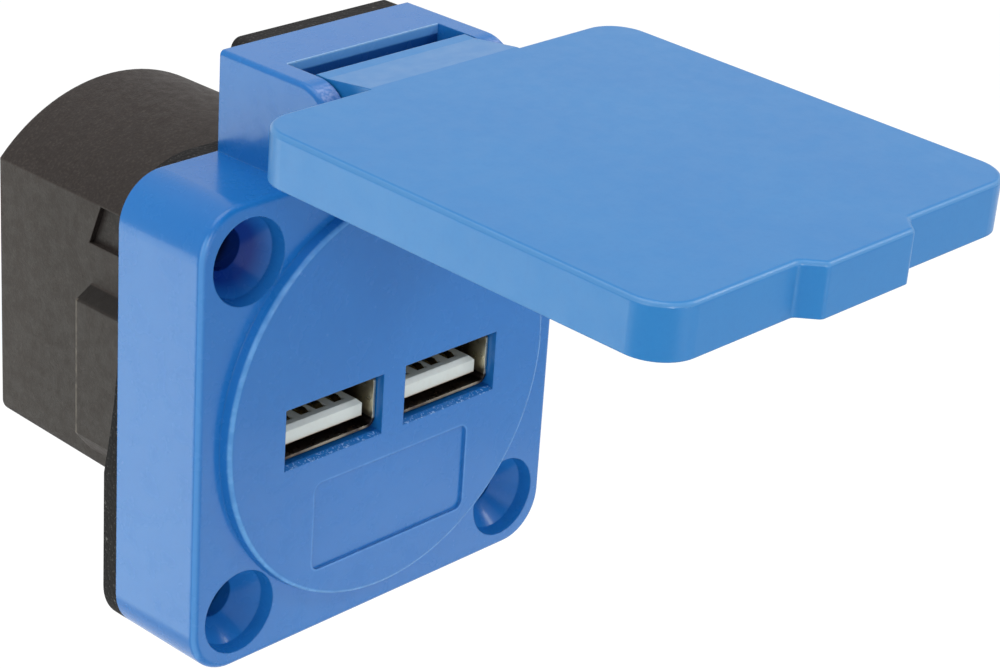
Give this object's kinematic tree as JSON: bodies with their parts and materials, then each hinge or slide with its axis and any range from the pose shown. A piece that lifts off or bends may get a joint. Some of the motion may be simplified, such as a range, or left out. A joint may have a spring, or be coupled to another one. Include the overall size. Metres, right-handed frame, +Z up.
{
  "type": "car usb socket",
  "caption": "Square panel-mount charging socket with two type A openings in a raised round face, a hinged splash cover, foam gasket and arched rear housing.",
  "frame": {"origin": "centre of the four-hole pattern, on the gasket's rear face where it meets the panel", "axes": "+Z up, -Y out of the panel towards the plug side, +Y back through the panel, +X to the right as seen from the front"},
  "size_m": [0.05, 0.1008, 0.061],
  "materials": {
    "housing_blue": "satin, fine moulded grain",
    "housing_blue_lid": "satin, fine moulded grain",
    "housing_dark": "matte, fine grain",
    "gasket_foam": "matte closed-cell foam",
    "seal_rubber": "matte",
    "pin_steel": "bright drawn",
    "shell_steel": "nickel plated",
    "insulator_white": "satin",
    "contact_brass": "plated",
    "board_green": "solder mask",
    "screw_steel": "zinc plated",
    "can_aluminium": "satin",
    "ferrite": "matte",
    "copper_wire": "enamelled copper",
    "chip_black": "matte",
    "ceramic_tan": "matte",
    "fuse_white": "satin",
    "block_green": "satin",
    "clamp_brass": "plated"
  },
  "bodies": {
    "socket_body": {"front_plate": "housing_blue", "board_lugs": "housing_blue", "gasket": "gasket_foam", "rear_housing": "housing_dark", "hinge_pin": "pin_steel", "usb_shell_left": "shell_steel", "usb_shell_right": "shell_steel", "usb_core_left": "insulator_white", "usb_core_right": "insulator_white", "usb_contacts_left": "contact_brass", "usb_contacts_right": "contact_brass", "circuit_board": "board_green", "board_screws": "screw_steel", "input_capacitor": "can_aluminium", "output_capacitor": "can_aluminium", "inductor_core": "ferrite", "inductor_winding": "copper_wire", "controller_chip": "chip_black", "ceramic_capacitors": "ceramic_tan", "rectifier_diode": "chip_black", "board_fuse": "fuse_white", "terminal_block": "block_green", "terminal_clamps": "clamp_brass", "terminal_screws": "screw_steel"},
    "cover": {"lid": "housing_blue_lid", "lid_seal": "seal_rubber"}
  },
  "joints": [
    {"name": "cover_hinge", "type": "hinge", "parent": "socket_body", "child": "cover", "pos_m": [0, -0.0142, 0.0297], "axis": [1, 0, 0], "range_deg": [-26.2, 88.8]}
  ]
}
